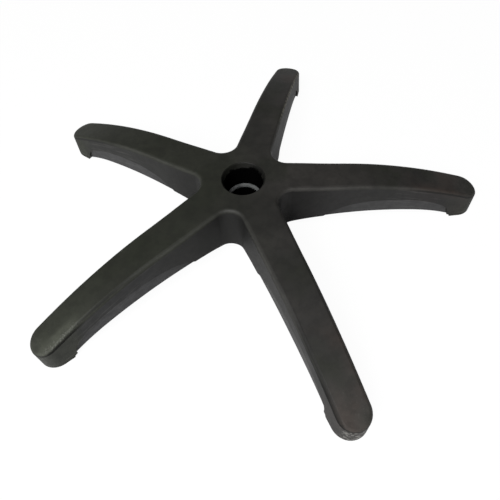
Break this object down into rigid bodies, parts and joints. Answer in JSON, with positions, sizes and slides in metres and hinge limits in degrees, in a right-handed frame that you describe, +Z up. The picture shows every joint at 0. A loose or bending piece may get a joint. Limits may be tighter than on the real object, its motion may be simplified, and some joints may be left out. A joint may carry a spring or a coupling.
{
  "type": "chair base",
  "caption": "Low star-shaped chair base moulded in black nylon, with crowned arched legs, a ribbed underside, a tapered hub socket and caster sockets in its pads.",
  "frame": {"origin": "on the axis of the hub socket, halfway down its taper and 21 mm under the hub's top face", "axes": "+Z up along the socket axis, the way the column leaves; +X along one leg"},
  "size_m": [0.5857, 0.6136, 0.088],
  "materials": {
    "black_nylon": "fine satin mould texture",
    "ring_steel": "dull turned steel"
  },
  "bodies": {
    "root": {"star_base": "black_nylon", "hub_ring": "ring_steel"}
  },
  "joints": []
}
